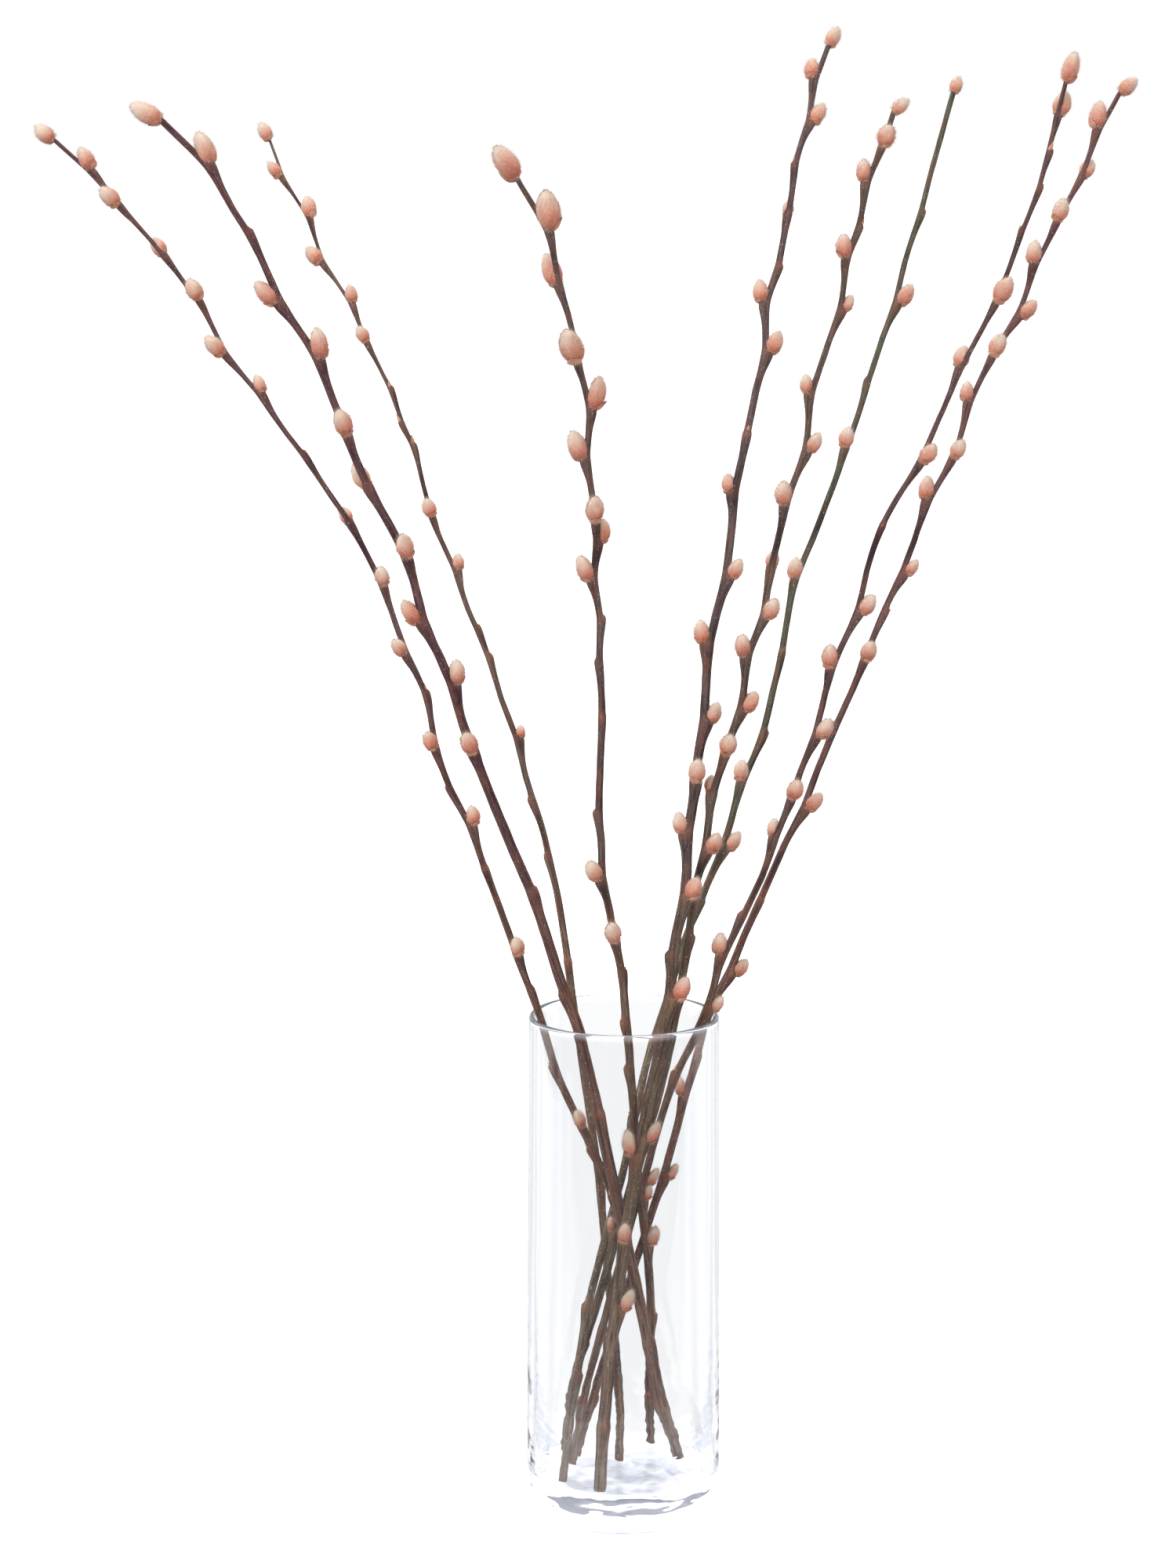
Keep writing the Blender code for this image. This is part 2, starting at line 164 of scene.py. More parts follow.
STEMS = [
    Stem(
        name="stem_1", radii=(2.1, 1.9, 1.0),
        route=[(29, 20), (21, 12, 60), (7, 2, 120), (-8, -4, 180), (-34, -7, 240), (-43, -9, 270),
               (-54, -12, 300), (-64, -14, 330), (-75, -16, 360), (-91, -20, 400), (-101, -23, 440),
               (-116, -26, 480), (-133, -30, 520), (-159, -33, 560), (-188, -36, 600), (-212, -39, 640),
               (-243, -42, 680), (-279, -45, 717)],
        tip=(200, 12, 12),
        catkins=[(701, 0, 12.5), (686, -90, 13), (661, 80, 11), (639, -50, 12.5), (614, -140, 13.5),
                 (592, 10, 10), (528, 90, 10), (497, -50, 11), (463, -130, 10.5), (414, -120, 11),
                 (372, -10, 11), (305, -60, 11), (213, -70, 11)],
        buds=[(441, 0), (200, 180), (174, -90)], scars=[562, 392, 350, 285, 245, 90],
    ),
    Stem(
        name="stem_2", radii=(3.1, 2.8, 1.5),
        route=[(30, 13), (20, 5, 60), (8, -8, 120), (-4, -21, 180), (-16, -31, 240), (-23, -36, 270),
               (-33, -42, 300), (-42, -48, 330), (-53, -54, 360), (-68, -63, 400), (-82, -71, 440),
               (-95, -79, 480), (-108, -86, 520), (-127, -94, 560), (-142, -101, 600), (-161, -109, 640),
               (-182, -116, 680), (-196, -120, 703), (-217, -125, 727)],
        tip=(180, 25, 17),
        catkins=[(705, 10, 16.5), (643, 180, 15), (614, -10, 16), (579, -80, 15), (552, 110, 14),
                 (518, -60, 14), (486, 180, 14.5), (453, 0, 13), (420, -90, 13.5)],
        buds=[(674, 20)], scars=[345, 290, 225, 95, 60],
    ),
    Stem(
        name="stem_3", radii=(2.1, 2.0, 0.7),
        route=[(-2, 10), (-2, 14, 60), (-8, 21, 120), (-14, 27, 180), (-23, 33, 240), (-27, 35, 270),
               (-31, 38, 300), (-36, 41, 330), (-43, 45, 360), (-56, 50, 400), (-69, 55, 440),
               (-85, 60, 480), (-100, 64, 520), (-112, 69, 560), (-129, 73, 600), (-149, 78, 640),
               (-169, 82, 680), (-185, 86, 716)],
        tip=(180, 10, 11),
        catkins=[(698, 190, 10.5), (675, 0, 12), (654, 180, 12), (631, -20, 10.5), (612, -90, 10),
                 (522, -90, 11), (493, 0, 9.5), (406, 0, 7.5)],
        buds=[(587, 0), (570, 180), (558, 0), (448, -20), (375, 180)], scars=[463, 345, 290, 170, 70],
    ),
    Stem(
        name="stem_4", radii=(2.3, 2.1, 1.3),
        route=[(15, 38), (14, 28, 60), (14, 11, 120), (8, -6, 180), (4, -28, 240), (2, -43, 270),
               (-1, -52, 300), (-6, -61, 330), (-10, -69, 360), (-12, -80, 400), (-11, -91, 440),
               (-12, -102, 480), (-14, -112, 520), (-16, -122, 560), (-19, -132, 600), (-27, -142, 640),
               (-39, -151, 680), (-50, -158, 701)],
        tip=(180, 8, 19),
        catkins=[(677, -20, 20), (651, 120, 17), (617, -110, 19), (593, 0, 17), (569, 180, 16),
                 (540, -80, 15), (527, 45, 12.5), (510, 190, 14), (356, 200, 12), (324, -90, 13),
                 (173, 0, 9), (147, -20, 12)],
        buds=[(390, 180), (277, 180), (104, 0), (55, -90)], scars=[490, 468, 440, 304, 250],
    ),
    Stem(
        name="stem_5", radii=(3.2, 2.9, 1.3),
        route=[(-12, -38), (-10, -34, 60), (-4, -30, 120), (4, -28, 180), (14, -33, 240), (20, -38, 270),
               (24, -39, 300), (28, -40, 330), (32, -40, 360), (36, -36, 400), (40, -31, 440),
               (46, -26, 480), (53, -21, 520), (59, -15, 560), (67, -9, 600), (73, -2, 640), (82, 5, 680),
               (89, 12, 720), (102, 21, 763)],
        tip=(0, 12, 11.5),
        catkins=[(746, 180, 11), (726, 0, 12), (680, 100, 9), (636, 180, 12.5), (612, 0, 13),
                 (542, 150, 11), (501, -20, 11.5), (467, 180, 13), (429, 0, 11.5), (399, -90, 13),
                 (373, 190, 11.5), (341, -40, 13), (288, -20, 14), (212, -20, 13), (203, 190, 15),
                 (158, -100, 12), (122, -20, 13)],
        buds=[(704, 180), (654, 0), (571, -90), (310, 180), (268, 190)], scars=[254, 105, 60],
    ),
    Stem(
        name="stem_6", radii=(2.3, 2.2, 1.3),
        route=[(-32, 25), (-28, 18, 60), (-12, 4, 120), (3, -15, 180), (19, -26, 240), (25, -29, 270),
               (30, -31, 300), (34, -32, 330), (39, -34, 360), (47, -41, 400), (57, -50, 440),
               (66, -60, 480), (74, -70, 520), (84, -79, 560), (92, -87, 600), (102, -95, 640),
               (111, -103, 680), (126, -113, 731)],
        tip=(0, 38, 10),
        catkins=[(716, -90, 12), (698, 180, 11), (663, -150, 12), (638, 20, 9), (597, 180, 10),
                 (570, -10, 11), (543, -140, 13), (509, 90, 10), (487, -40, 12), (465, 180, 12),
                 (438, 0, 12), (416, -90, 13), (392, 120, 10), (364, -30, 12), (157, 180, 9)],
        buds=[(677, 0), (318, 0)], scars=[290, 230, 90, 55],
    ),
    Stem(
        name="stem_7", radii=(2.1, 2.0, 1.4),
        route=[(-31, -24), (-27, -16, 60), (-17, -3, 120), (-1, 13, 180), (13, 30, 240), (23, 38, 270),
               (32, 43, 300), (44, 48, 330), (55, 53, 360), (70, 62, 400), (81, 70, 440), (89, 78, 480),
               (104, 85, 520), (119, 92, 560), (132, 99, 600), (144, 106, 640), (156, 113, 680),
               (173, 124, 740)],
        tip=(0, 8, 10),
        catkins=[(631, 0, 13.5), (555, -120, 12), (487, -130, 12), (382, -140, 12), (349, 10, 12),
                 (221, 20, 10)],
        buds=[(408, 0), (115, 180)], scars=[678, 590, 449, 320, 210, 80],
    ),
    Stem(
        name="stem_8", radii=(2.1, 1.9, 1.1),
        route=[(-27, 4), (-21, 4, 60), (-6, 4, 120), (10, 3, 180), (27, -9, 240), (39, -20, 270),
               (49, -25, 300), (62, -29, 330), (74, -33, 360), (87, -39, 400), (99, -44, 440),
               (115, -50, 490), (127, -54, 530), (143, -58, 560), (161, -62, 600), (179, -67, 640),
               (194, -71, 680), (204, -76, 720), (210, -79, 745)],
        tip=(0, 6, 15.5),
        catkins=[(729, 70, 13), (641, -75, 15), (607, 120, 12), (563, -60, 12), (487, 0, 12),
                 (458, -150, 13), (424, -20, 12), (392, -90, 12), (369, 130, 10), (307, 180, 12),
                 (279, 0, 9.5), (180, 0, 11)],
        buds=[(712, 0), (328, 180), (241, 180)], scars=[695, 674, 530, 100, 60],
    ),
    Stem(
        name="stem_9", radii=(2.1, 2.0, 1.2),
        route=[(-25, 17), (-16, 14, 60), (2, 10, 120), (20, 6, 180), (36, 2, 240), (44, 0, 270),
               (57, 1, 300), (70, 2, 330), (83, 3, 360), (100, 4, 400), (117, 6, 440), (132, 7, 480),
               (149, 9, 520), (167, 11, 560), (182, 12, 600), (202, 14, 640), (220, 15, 680),
               (248, 18, 740)],
        tip=(0, 30, 11.5),
        catkins=[(721, 180, 14.5), (699, 60, 11), (676, -115, 13), (654, 180, 12.5), (630, 0, 12),
                 (609, -100, 13), (585, 180, 11), (558, -80, 11.5), (535, 180, 13), (500, 0, 10),
                 (455, -90, 12), (379, -20, 12), (293, 10, 11), (227, 190, 10), (182, 10, 10)],
        buds=[], scars=[480, 420, 330, 248, 110, 60],
    ),
]

# Bark colour of each stem above the vase and inside it
BARK_TONES = {
    "stem_1": ((0.14, 0.07, 0.07), (0.18, 0.1, 0.07)),
    "stem_2": ((0.12, 0.05, 0.06), (0.19, 0.1, 0.07)),
    "stem_3": ((0.16, 0.1, 0.08), (0.21, 0.14, 0.09)),
    "stem_4": ((0.14, 0.09, 0.08), (0.19, 0.12, 0.08)),
    "stem_5": ((0.12, 0.08, 0.08), (0.17, 0.12, 0.07)),
    "stem_6": ((0.14, 0.1, 0.08), (0.17, 0.13, 0.08)),
    "stem_7": ((0.11, 0.11, 0.07), (0.16, 0.13, 0.08)),
    "stem_8": ((0.13, 0.07, 0.07), (0.19, 0.12, 0.08)),
    "stem_9": ((0.16, 0.08, 0.08), (0.21, 0.11, 0.08)),
}

# Pieces of loose fluff on the stems that catch more of it inside the vase than the rest
LINT = {"stem_3": 700, "stem_5": 300, "stem_6": 320, "stem_7": 800, "stem_9": 650}


class Curve:
    """A smooth line through a stem's route, read by height."""

    def __init__(self, stem):
        points = np.array([(*point, 0)[:3] for point in stem.route], float) * MM
        first = Vector(points[1]) - Vector((points[0][0], points[0][1], VASE_FLOOR + SEAT_GAP))
        lean = first.angle(Vector((0, 0, 1)))
        points[0][2] = VASE_FLOOR + SEAT_GAP + stem.radii[0] * MM * math.sin(lean)
        self.heights = points[:, 2]
        self.places = points[:, :2]
        rise = np.diff(self.heights)[:, None]
        run = np.diff(self.places, axis=0) / rise
        inner = (run[1:] * rise[:-1] + run[:-1] * rise[1:]) / (rise[1:] + rise[:-1])
        self.slopes = np.vstack([run[:1], inner, run[-1:]])

    def at(self, height):
        """Points on the line at an array of heights."""
        height = np.atleast_1d(np.asarray(height, float))
        span = np.clip(np.searchsorted(self.heights, height) - 1, 0, len(self.heights) - 2)
        low, high = self.heights[span], self.heights[span + 1]
        rise = (high - low)[:, None]
        t = (height - low)[:, None] / rise
        place = ((1 + 2 * t) * (1 - t) ** 2 * self.places[span]
                 + t * (1 - t) ** 2 * rise * self.slopes[span]
                 + t * t * (3 - 2 * t) * self.places[span + 1]
                 + t * t * (t - 1) * rise * self.slopes[span + 1])
        return np.column_stack([place, height])

    def growth(self, height):
        """Unit directions that the stem grows in at an array of heights."""
        height = np.atleast_1d(np.asarray(height, float))
        reach = 0.5 * MM
        low = np.clip(height - reach, self.heights[0], self.heights[-1] - 2 * reach)
        return unit(self.at(low + 2 * reach) - self.at(low))


def unit(vectors):
    """Vectors brought to length one."""
    return vectors / np.maximum(np.linalg.norm(vectors, axis=-1, keepdims=True), 1e-12)


def sideways(growth, bearing):
    """Level direction at a bearing in degrees, squared up to the way the stem grows."""
    angle = math.radians(bearing)
    level = np.array([math.cos(angle), math.sin(angle), 0.0])
    return unit(level - growth * np.sum(level * growth, axis=-1, keepdims=True))


def wood_radius(stem, height):
    """Plain radius of the wood in metres at heights in metres."""
    foot, rim, tip = (radius * MM for radius in stem.radii)
    top = stem.route[-1][2] * MM
    low = foot + (rim - foot) * np.clip((height - VASE_FLOOR) / (RIM_HEIGHT - VASE_FLOOR), 0, 1)
    high = rim + (tip - rim) * np.clip((height - RIM_HEIGHT) / (top - RIM_HEIGHT), 0, 1)
    return np.where(height < RIM_HEIGHT, low, high)


def outline_points(outline, steps):
    """A smooth line through a half outline, which turns round at both ends as its mirror image does."""
    points = np.array(outline, float)
    mirror = np.array([1.0, -1.0])
    points = np.vstack([points[1] * mirror, points, points[-2] * mirror])
    line = []
    for i in range(1, len(points) - 2):
        before, here, then, after = points[i - 1:i + 3]
        for t in np.arange(steps) / steps:
            line.append(0.5 * (2 * here + (then - before) * t
                               + (2 * before - 5 * here + 4 * then - after) * t ** 2
                               + (3 * here - before - 3 * then + after) * t ** 3))
    line.append(points[-2])
    line = np.array(line)
    line[:, 1] = np.maximum(line[:, 1], 0)
    return line


def new_object(name, data):
    """An object in the scene that shows a mesh, a lamp or a camera."""
    obj = bpy.data.objects.new(name, data)
    bpy.context.scene.collection.objects.link(obj)
    return obj


class Shape:
    """Points, faces and point values that are gathered and then made into one piece."""

    def __init__(self, **values):
        self.points, self.normals, self.faces = [], [], []
        self.count = 0
        self.sizes = values
        self.values = {name: [] for name in values}

    def add(self, points, normals, faces, **values):
        """Takes in points with their normals, blocks of faces and values for each point or for all."""
        points = np.asarray(points, float).reshape(-1, 3)
        self.points.append(points)
        self.normals.append(np.asarray(normals, float).reshape(-1, 3))
        for block in faces:
            self.faces.extend((np.asarray(block) + self.count).tolist())
        for name, size in self.sizes.items():
            value = np.asarray(values.get(name, 0.0), float)
            value = value.reshape(-1, size) if value.size > 1 else value.reshape(1, 1)
            self.values[name].append(np.broadcast_to(value, (len(points), size)))
        self.count += len(points)

    def piece(self, name, material):
        """Makes everything taken in so far into one object."""
        mesh = bpy.data.meshes.new(name)
        mesh.from_pydata(np.vstack(self.points), [], self.faces)
        mesh.shade_smooth()
        for key, size in self.sizes.items():
            kind, field = ("FLOAT", "value") if size == 1 else ("FLOAT_VECTOR", "vector")
            attribute = mesh.attributes.new(key, kind, "POINT")
            attribute.data.foreach_set(field, np.vstack(self.values[key]).astype(np.float32).ravel())
        mesh.normals_split_custom_set_from_vertices(np.vstack(self.normals))
        mesh.materials.append(material)
        return new_object(name, mesh)


def tube_faces(rows, sides):
    """Quads of a closed tube whose rings follow each other."""
    row, side = np.meshgrid(np.arange(rows - 1), np.arange(sides), indexing="ij")
    low, turn = row * sides + side, row * sides + (side + 1) % sides
    return np.stack([low, turn, turn + sides, low + sides], axis=-1).reshape(-1, 4)


def fan_faces(ring, centre, sides, flip):
    """Triangles from a ring of points to a centre."""
    side = np.arange(sides)
    fan = np.stack([ring + side, ring + (side + 1) % sides, np.full(sides, centre)], axis=-1)
    return fan[:, ::-1] if flip else fan


def closed_faces(rows, sides):
    """Faces of a tube whose ends close on the two points that follow its rings."""
    return [tube_faces(rows, sides), fan_faces(0, rows * sides, sides, True),
            fan_faces((rows - 1) * sides, rows * sides + 1, sides, False)]


def grid_normals(grid):
    """Outward normals of a grid of rings, from its own points."""
    up = np.gradient(grid, axis=0)
    around = np.roll(grid, -1, axis=1) - np.roll(grid, 1, axis=1)
    return unit(np.cross(around, up))


def ring_ways(out, across, angle):
    """Directions round a ring, at angles from out towards across."""
    return out * np.cos(angle)[:, None] + across * np.sin(angle)[:, None]


def add_egg(shape, root, axis, out, length, width, depth, outline, sides, bend=0.0, lumps=None, **values):
    """A closed rounded body on its root along an axis. depth is its size along out, and width across it."""
    along, share = outline[1:-1, 0], outline[1:-1, 1]
    across = np.cross(axis, out)
    angle = math.tau * np.arange(sides) / sides
    swell = np.ones((len(along), sides)) if lumps is None else lumps(along[:, None], angle[None, :])
    sag = bend * length * np.clip(along, 0, 1) ** 2
    centre = root + axis * (along * length)[:, None] - out * sag[:, None]
    reach = (share[:, None] * swell)[..., None]
    ring = out * np.cos(angle)[:, None] * depth + across * np.sin(angle)[:, None] * width
    grid = centre[:, None] + reach * ring
    rows = len(along)
    ends = np.array([root + axis * outline[0, 0] * length,
                     root + axis * outline[-1, 0] * length - out * bend * length])
    points = np.vstack([grid.reshape(-1, 3), ends])
    normals = np.vstack([grid_normals(grid).reshape(-1, 3), [-axis, axis]])
    # How far each point faces the side in painted shade, which the fur material turns salmon
    values.update(blush=normals @ PAINTED_SHADE_SIDE)
    share_along = np.append(np.repeat(along, sides), [outline[0, 0], outline[-1, 0]])
    turn = np.append(np.tile(angle, rows), [0.0, 0.0])
    grain = np.column_stack([np.cos(turn), np.sin(turn), share_along * 2]) + values.pop("drift", 0.0)
    shape.add(points, normals, closed_faces(rows, sides), along=share_along, grain=grain, **values)
    return grid, grid_normals(grid)


def add_hairs(shape, roots, normals, ways, lengths, widths, along, **values):
    """Fine tapered hairs, each one a sliver on its root that points a given way."""
    count = len(roots)
    side = unit(np.cross(normals, ways)) * np.broadcast_to(widths / 2, count)[:, None]
    tips = roots + ways * lengths[:, None]
    points = np.stack([roots + side, roots - side, tips], axis=1).reshape(-1, 3)
    faces = [np.arange(3 * count).reshape(-1, 3)]
    soft = np.repeat(unit(normals + 0.35 * ways), 3, axis=0)
    # How far each hair faces the side in painted shade, which the fur material turns salmon
    values.update(blush=soft @ PAINTED_SHADE_SIDE)
    along = np.repeat(np.broadcast_to(along, count), 3)
    shape.add(points, soft, faces, along=along, hair=np.tile([0.0, 0.0, 1.0], count),
              **{name: (np.repeat(value, 3, axis=0) if np.ndim(value) == 2 else value)
                 for name, value in values.items()})


def add_catkin(fur, root, axis, out, length, width, draw):
    """One catkin: a soft egg with silky hairs that lie towards its tip, and a ring of fluff at its base."""
    length, width = length - FUR_DEPTH, width - 1.4 * FUR_DEPTH
    phase = draw.uniform(0, math.tau, 4)
    amount = draw.uniform(0.015, 0.04, 2)

    def lumps(along, angle):
        return (1 + amount[0] * np.sin(2 * angle + phase[0] + 2 * along)
                + amount[1] * np.sin(3 * angle + phase[1] - 4 * along)
                + 0.02 * np.sin(9 * along + phase[2]) * np.cos(angle + phase[3]))

    shade = draw.uniform(0, 1)
    drift = draw.uniform(-20, 20, 3)
    outline = outline_points(CATKIN_OUTLINE, 3)
    grid, normals = add_egg(fur, root, axis, out, length, width, width * draw.uniform(0.9, 1.0), outline,
                            CATKIN_SIDES, CATKIN_BEND, lumps, shade=shade, drift=drift)
    rows = len(grid)
    area = math.pi * width * length * 0.8 / MM ** 2
    count = int(area * HAIRS_PER_MM2)
    radius = outline[1:-1, 1]
    row = draw.choice(rows, count, p=radius / radius.sum())
    side = draw.integers(0, CATKIN_SIDES, count)
    slide = draw.uniform(0, 1, (count, 2))[:, :, None]
    above = grid[np.minimum(row + 1, rows - 1), side]
    beside = grid[row, (side + 1) % CATKIN_SIDES]
    here = grid[row, side]
    roots = here + (above - here) * slide[:, 0] + (beside - here) * slide[:, 1]
    normal = normals[row, side]
    roots = roots - normal * 0.12 * MM
    along = outline[1:-1, 0][row]
    lift = draw.uniform(0.25, 0.85, count)[:, None]
    ways = unit(axis * 0.8 + normal * lift + draw.normal(0, 0.14, (count, 3)))
    lengths = HAIR_LENGTH * draw.uniform(0.6, 1.15, count) * (0.55 + 0.45 * length / (13 * MM))
    lengths = lengths * np.interp(along, [0.5, 1.0], [1.0, 0.6])
    widths = HAIR_WIDTH * draw.uniform(0.7, 1.3, count)
    turn = math.tau * side / CATKIN_SIDES
    grain = np.column_stack([np.cos(turn), np.sin(turn), along * 2]) + drift
    add_hairs(fur, roots, normal, ways, lengths, widths, along, grain=grain, shade=shade)

    # Longer and finer hairs that stand off the rest and soften the outline
    loose = draw.uniform(0, 1, count) < LOOSE_SHARE
    count = int(loose.sum())
    ways = unit(axis * 0.7 + normal[loose] * draw.uniform(0.7, 1.7, count)[:, None]
                + draw.normal(0, 0.25, (count, 3)))
    add_hairs(fur, roots[loose] + normal[loose] * 0.1 * MM, normal[loose], ways,
              LOOSE_LENGTH * draw.uniform(0.5, 1.2, count), LOOSE_WIDTH, LOOSE_ALONG, grain=grain[loose],
              shade=shade)

    # The pale ring of fluff where the catkin leaves the wood
    count = FLUFF_HAIRS
    rim = ring_ways(out, np.cross(axis, out), draw.uniform(0, math.tau, count))
    base = root + axis * length * draw.uniform(0.02, 0.12, count)[:, None] + rim * width * 0.33
    ways = unit(rim * 0.9 + axis * draw.uniform(-0.9, 1.0, count)[:, None] + draw.normal(0, 0.3, (count, 3)))
    add_hairs(fur, base, rim, ways, draw.uniform(0.6, 1.5, count) * MM, HAIR_WIDTH, FLUFF_ALONG, shade=shade)


def add_lint(fur, curve, stem, low, high, count, draw):
    """Loose fluff from the catkins, caught on the bark."""
    height = draw.uniform(low, high, count)
    growth = curve.growth(height)
    angle = draw.uniform(0, math.tau, count)
    level = np.column_stack([np.cos(angle), np.sin(angle), np.zeros(count)])
    out = unit(level - growth * np.sum(level * growth, axis=1)[:, None])
    roots = curve.at(height) + out * (wood_radius(stem, height) * 1.03)[:, None]
    around = np.cross(growth, out)
    ways = growth * draw.normal(0, 1, count)[:, None] + around * draw.normal(0, 1, count)[:, None]
    ways = unit(ways + out * 0.25)
    add_hairs(fur, roots, out, ways, draw.uniform(0.3, 1.4, count) * MM, draw.uniform(0.1, 0.28, count) * MM,
              FLUFF_ALONG, shade=0.5)


def catkin_width(length, height):
    """Width that goes with a catkin's length. Catkins inside the vase stay shut and slimmer."""
    width = np.interp(length, CATKIN_LENGTHS, CATKIN_WIDTHS)
    return float(width) * (1.0 if height > RIM_HEIGHT else SHUT_CATKIN_WIDTH)


def stem_nodes(stem):
    """Everything that grows from the wood, as (height, bearing, how much the wood swells under it)."""
    nodes = [(height, bearing, CATKIN_SWELL if height * MM > RIM_HEIGHT else CATKIN_SWELL_IN_VASE)
             for height, bearing, _ in stem.catkins]
    nodes += [(height, bearing, BUD_SWELL) for height, bearing in stem.buds]
    nodes += [(height, index * SCAR_TURN, SCAR_SWELL) for index, height in enumerate(stem.scars)]
    return nodes


def make_wood(stem, curve, draw):
    """The stem's wood, with its nodes, its bark's ridges and its cut end."""
    low, high = curve.heights[0], curve.heights[-1]
    rows, sides = int((high - low) / WOOD_STEP), WOOD_SIDES
    height = np.linspace(low, high, rows)
    centre, growth = curve.at(height), curve.growth(height)
    angle = math.tau * np.arange(sides) / sides

    side = np.zeros_like(growth)
    last = np.array([1.0, 0.0, 0.0])
    for i, way in enumerate(growth):
        last = last - way * (last @ way)
        last /= np.linalg.norm(last)
        side[i] = last
    across = np.cross(growth, side)
    rim = side[:, None] * np.cos(angle)[:, None] + across[:, None] * np.sin(angle)[:, None]

    plain = wood_radius(stem, height)
    radius = np.repeat(plain[:, None], sides, axis=1)
    redness = np.zeros((rows, sides))
    free = 0.3 + 0.7 * np.clip((height - RIM_HEIGHT) / (60 * MM), 0, 1)
    for node_height, bearing, strength in stem_nodes(stem):
        away = height - node_height * MM
        out = sideways(curve.growth(node_height * MM)[0], bearing)
        facing = np.clip(rim @ out, -1, 1)
        lobe = ((1 + facing) / 2) ** 2.5
        ramp = np.where(away < 0, np.exp(-(away / SHOULDER_RISE) ** 2), np.exp(-(away / SHOULDER_DROP) ** 2))
        swell = strength * (SHOULDER_SWELL + 0.2 * plain) * ramp
        radius += swell[:, None] * lobe + 0.05 * plain[:, None] * ramp[:, None]
        close = np.exp(-(away / (2.6 * MM)) ** 2)
        redness = np.maximum(redness, min(strength, 1.0) * close[:, None] * (0.35 + 0.65 * lobe))
        bend = np.clip(1 - np.abs(away) / NODE_BEND_REACH, 0, 1)
        centre = centre + out * (NODE_BEND * strength * bend * free)[:, None]

    phase = draw.uniform(0, math.tau, 6)
    metres = height[:, None]
    ridge = (np.sin(5 * angle + phase[0] + 9 * np.sin(metres * 31 + phase[1]))
             + 0.8 * np.sin(8 * angle + phase[2] + 7 * np.sin(metres * 47 + phase[3]))
             + 0.7 * np.sin(3 * angle + phase[4] + metres * 140)
             + 0.8 * np.sin(metres * 420 + phase[5]) * np.sin(2 * angle + metres * 60))
    radius *= 1 + BARK_RIDGE * ridge
    radius[-1] *= TIP_SHARE
    radius[0] *= CUT_SHARE

    grid = centre[:, None] + rim * radius[..., None]
    inner = centre[0] + rim[0] * (radius[0] * PITH_SHARE)[:, None] - growth[0] * CUT_DEPTH
    points = np.vstack([grid.reshape(-1, 3), inner, centre[0], centre[-1] + growth[-1] * TIP_POINT])
    cut_normals = np.repeat(-growth[:1], sides + 1, axis=0)
    normals = np.vstack([grid_normals(grid).reshape(-1, 3), cut_normals, growth[-1:]])
    body = rows * sides
    ring = np.arange(sides)
    turn = (ring + 1) % sides
    end = np.stack([turn, ring, body + ring, body + turn], axis=-1)
    faces = [tube_faces(rows, sides), end, fan_faces(body, body + sides, sides, True),
             fan_faces(body - sides, body + sides + 1, sides, False)]
    length = np.concatenate([[0], np.cumsum(np.linalg.norm(np.diff(centre, axis=0), axis=1))])
    grain = np.zeros_like(rim)
    grain[..., 0] = np.cos(angle) * plain[:, None] / MM
    grain[..., 1] = np.sin(angle) * plain[:, None] / MM
    grain[..., 2] = length[:, None] / MM
    grain = np.vstack([grain.reshape(-1, 3), np.zeros((sides + 2, 3))])
    cut_face = np.concatenate([np.zeros(body), np.ones(sides + 1), [0]])
    wood = Shape(grain=3, node=1, cut=1)
    wood.add(points, normals, faces, grain=grain, cut=cut_face,
             node=np.append(redness.ravel(), np.zeros(sides + 2)))
    return wood


def shoot_root(stem, curve, height, bearing, stand=None):
    """Where something starts on the wood: sunk into it, or standing off it on its shoulder."""
    growth = curve.growth(height)[0]
    out = sideways(growth, bearing)
    radius = float(wood_radius(stem, height))
    reach = radius * ROOT_DEPTH if stand is None else radius + stand
    return curve.at(height)[0] + out * reach, growth, out


def leaning(growth, out, lean):
    """The axis of a shoot that leans away from the stem, and the direction out, squared up to it."""
    axis = growth * math.cos(lean) + out * math.sin(lean)
    return axis, squared(out, axis)


def squared(out, axis):
    """The direction out, squared up to an axis."""
    return unit(out - axis * (out @ axis))


def flake_ways(axis, out, turn, tilt):
    """Side, axis and face of a flake round a shoot, turned from out and tilted away from the shoot."""
    side = out * math.cos(turn) + np.cross(axis, out) * math.sin(turn)
    way = unit(axis + side * tilt)
    return side, way, squared(side, way)


def add_scale(scales, root, axis, out, size, bend, shade, draw):
    """One papery scale. size is its length, width and depth."""
    add_egg(scales, root, axis, out, *size, outline_points(BUD_OUTLINE, 3), SCALE_SIDES, bend=bend,
            shade=shade, drift=draw.uniform(-20, 20, 3))


def add_catkin_scale(scales, root, axis, out, length, width, draw):
    """The remains of the bud scale, a small brown cup under the catkin's outer side."""
    side, way, face = flake_ways(axis, out, draw.uniform(-0.7, 0.7), 0.62)
    foot = root + side * width * 0.16 + axis * length * 0.03
    size = (length * draw.uniform(0.26, 0.38), width * 0.62, width * 0.22)
    add_scale(scales, foot, way, face, size, -0.1, draw.uniform(0, 1), draw)


def add_whole_catkin(fur, scales, root, axis, out, length, height, draw):
    """A catkin with its scale, sunk a little into what it stands on."""
    root = root - axis * CATKIN_SINK
    width = catkin_width(length, height)
    add_catkin(fur, root, axis, out, length, width, draw)
    add_catkin_scale(scales, root, axis, out, length, width, draw)


